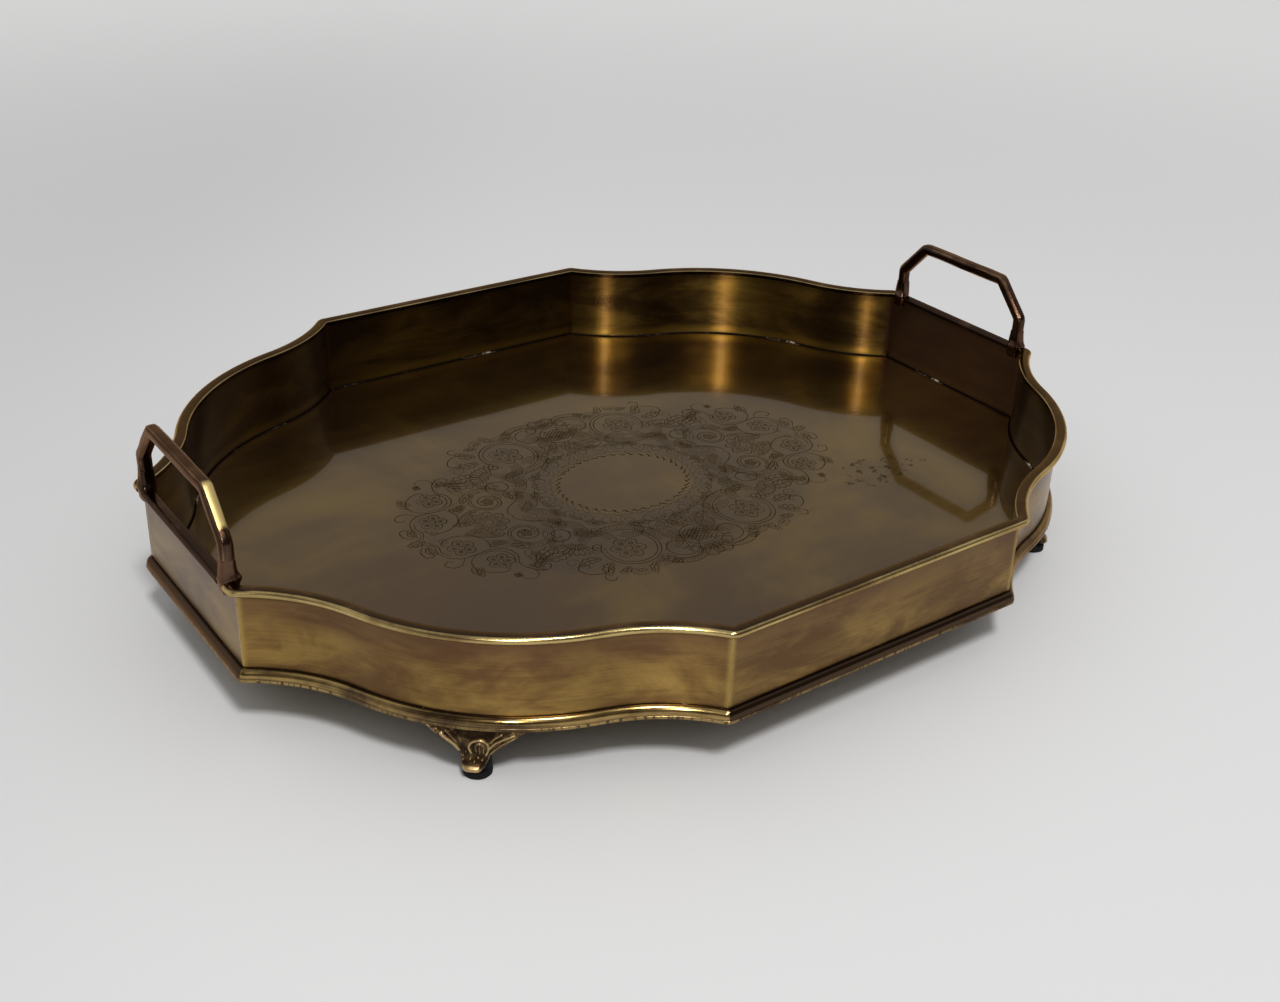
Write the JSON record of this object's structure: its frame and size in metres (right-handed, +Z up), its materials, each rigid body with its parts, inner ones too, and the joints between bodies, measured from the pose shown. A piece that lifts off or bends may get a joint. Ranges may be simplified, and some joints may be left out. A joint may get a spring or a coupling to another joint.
{
  "type": "footed gallery tray",
  "caption": "Shaped brass serving tray with an upright gallery wall, fixed bar handles at the ends and feet on rubber pads.",
  "frame": {"origin": "middle of the tray on the surface that it stands on", "axes": "+X along the length, towards the right handle; +Y across the width, away from the front; +Z up"},
  "size_m": [0.381, 0.305, 0.0868],
  "materials": {
    "gallery_brass": "brushed antique brass sheet, golden outside, browner inside, lighter solder streaks at the corners",
    "floor_brass": "polished antique brass with shallow engraved scrollwork and a dark patina at the edges",
    "wire_brass": "satin antique brass with dark patina in the grooves and bright worn edges",
    "handle_brass": "filed antique brass bar, coppery brown with gold on the worn edges",
    "cast_brass": "cast brass with dark patina in the hollows of the leaf and bright high spots",
    "pad_rubber": "black rubber, matt and slightly rough"
  },
  "bodies": {
    "root": {"bowed_wall_back_left": "gallery_brass", "bowed_wall_back_right": "gallery_brass", "bowed_wall_front_left": "gallery_brass", "bowed_wall_front_right": "gallery_brass", "end_wall_left": "gallery_brass", "end_wall_right": "gallery_brass", "floor_plate": "floor_brass", "foot_back_left": "cast_brass", "foot_back_right": "cast_brass", "foot_front_left": "cast_brass", "foot_front_right": "cast_brass", "foot_pad_back_left": "pad_rubber", "foot_pad_back_right": "pad_rubber", "foot_pad_front_left": "pad_rubber", "foot_pad_front_right": "pad_rubber", "handle_left": "handle_brass", "handle_right": "handle_brass", "moulding_bowed_back_left": "wire_brass", "moulding_bowed_back_right": "wire_brass", "moulding_bowed_front_left": "wire_brass", "moulding_bowed_front_right": "wire_brass", "moulding_end_left": "wire_brass", "moulding_end_right": "wire_brass", "moulding_side_back": "wire_brass", "moulding_side_front": "wire_brass", "rim_bowed_back_left": "wire_brass", "rim_bowed_back_right": "wire_brass", "rim_bowed_front_left": "wire_brass", "rim_bowed_front_right": "wire_brass", "rim_end_left": "wire_brass", "rim_end_right": "wire_brass", "rim_side_back": "wire_brass", "rim_side_front": "wire_brass", "side_wall_back": "gallery_brass", "side_wall_front": "gallery_brass"}
  },
  "joints": []
}
